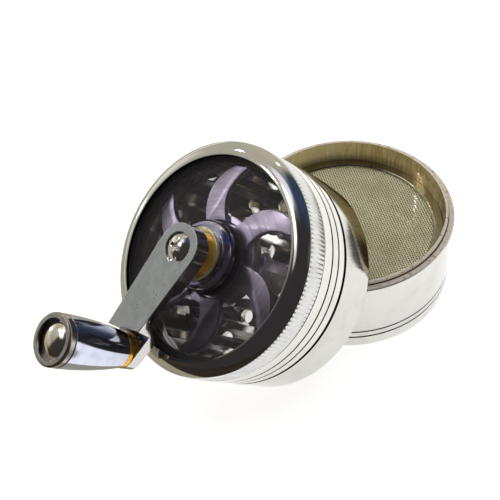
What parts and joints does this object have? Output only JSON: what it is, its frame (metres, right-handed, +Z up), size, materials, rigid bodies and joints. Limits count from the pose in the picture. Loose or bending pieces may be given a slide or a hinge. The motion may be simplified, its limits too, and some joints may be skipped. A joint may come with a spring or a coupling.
{
  "type": "hand crank herb grinder",
  "caption": "Hand crank herb grinder in two halves: crank lid with a window and rotor on its grinding chamber, leaning on a sifter cup over a catch pan.",
  "frame": {"origin": "centre of the catch pan's underside, on the surface the part stands on", "axes": "+Z up along the lower half's axis; the upper half leans towards -X and -Y, with the crank hanging downhill"},
  "size_m": [0.0932, 0.0867, 0.0548],
  "materials": {
    "polished_shell": "polished",
    "polished_steel": "polished",
    "satin_steel": "satin",
    "dark_steel": "blackened",
    "satin_alloy": "turned",
    "steel_mesh": "woven",
    "brass": "satin",
    "nylon": "matte",
    "black_rubber": "matte",
    "black_plastic": "matte",
    "smoked_window": "clear, smoked"
  },
  "bodies": {
    "pan": {"catch_pan": "polished_shell"},
    "sifter": {"sifter_ring": "polished_shell", "sifter_screen": "steel_mesh", "screen_retaining_ring": "satin_steel"},
    "chamber": {"grinding_chamber": "polished_shell", "tooth_plate": "satin_alloy", "chamber_friction_ring": "nylon"},
    "lid": {"lid_ring": "polished_shell", "window_gasket": "black_rubber", "lid_window": "smoked_window", "window_retaining_ring": "black_plastic", "hub_flange": "polished_steel", "hub_lock_ring": "polished_steel", "hub_bush": "brass", "hub_clamp_washer": "dark_steel", "hub_clamp_nut": "dark_steel"},
    "crank": {"crank_shaft": "satin_steel", "thrust_washer": "brass", "rotor": "satin_alloy", "rotor_washer": "satin_steel", "rotor_nut": "satin_steel", "crank_arm": "satin_steel", "crank_screw": "polished_steel", "knob_collar": "brass", "knob_pin": "polished_steel"},
    "knob": {"knob_barrel": "polished_steel", "knob_end_cap": "satin_steel"}
  },
  "joints": [
    {"name": "sifter_lift", "type": "slide", "parent": "pan", "child": "sifter", "axis": [0, 0, 1], "range_m": [0, 0.03]},
    {"name": "chamber_lift", "type": "slide", "parent": "sifter", "child": "chamber", "axis": [0, 0, 1], "range_m": [0, 0.05]},
    {"name": "lid_pull", "type": "slide", "parent": "chamber", "child": "lid", "axis": [-0.4749, -0.4066, 0.7804], "range_m": [0, 0.03]},
    {"name": "crank_turn", "type": "hinge", "parent": "lid", "child": "crank", "pos_m": [-0.01882, -0.01818, 0.01697], "axis": [-0.4749, -0.4066, 0.7804], "continuous": true},
    {"name": "knob_spin", "type": "hinge", "parent": "crank", "child": "knob", "pos_m": [-0.05454, -0.04876, 0.03056], "axis": [-0.4749, -0.4066, 0.7804], "continuous": true}
  ]
}
